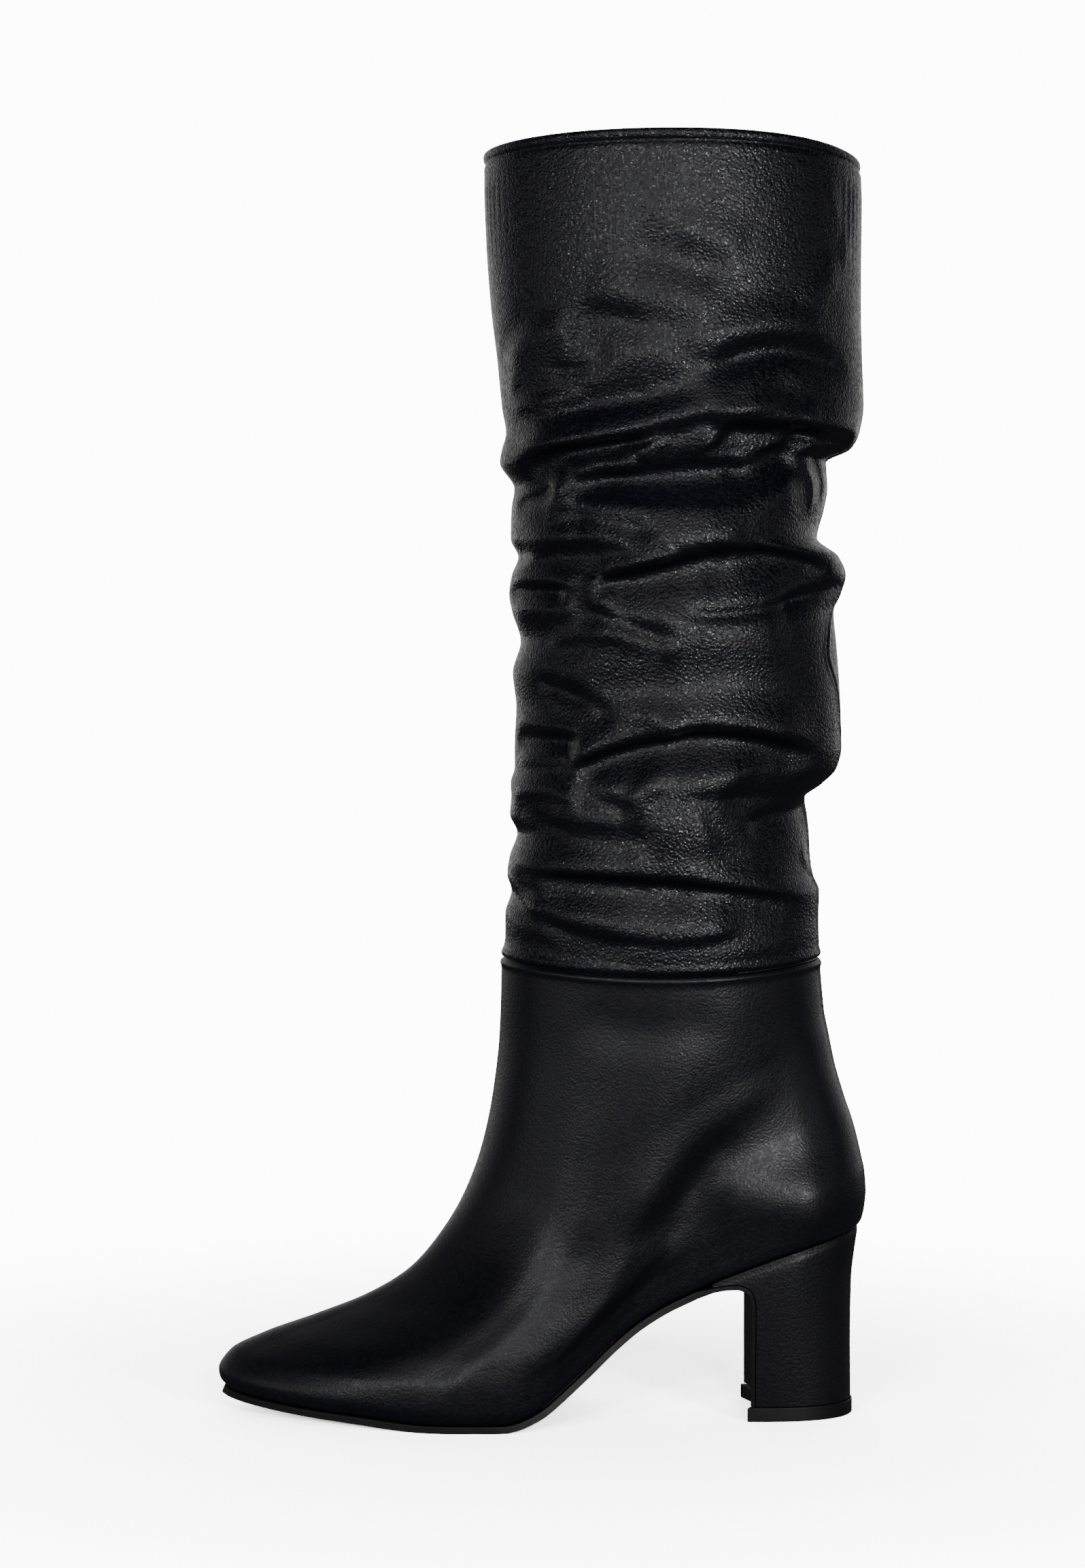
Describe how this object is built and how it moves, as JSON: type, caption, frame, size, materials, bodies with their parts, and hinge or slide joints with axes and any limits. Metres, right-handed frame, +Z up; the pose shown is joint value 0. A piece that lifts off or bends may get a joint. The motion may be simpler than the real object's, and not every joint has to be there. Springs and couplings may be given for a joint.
{
  "type": "slouch boot",
  "caption": "Left pull-on slouch boot in soft black leather with a gathered shaft, a rolled collar, an almond toe and a block heel.",
  "frame": {"origin": "on the floor, under the middle of the boot's bounding box", "axes": "+Z up, -X towards the toe, -Y towards the outer side of the foot and +Y towards the inner side"},
  "size_m": [0.2478, 0.1112, 0.4819],
  "materials": {
    "upper_leather": "soft black nappa leather with a fine grain and a low sheen",
    "shaft_leather": "soft black nappa leather with a fine grain and a low sheen",
    "sole": "smooth black, matt",
    "heel_cover": "black leather cover, smooth with a low sheen",
    "top_lift": "black, matt",
    "insole": "beige lining leather, matt"
  },
  "bodies": {
    "root": {"upper": "upper_leather", "shaft": "shaft_leather", "outsole": "sole", "heel": "heel_cover", "top_lift": "top_lift", "insole": "insole"}
  },
  "joints": []
}
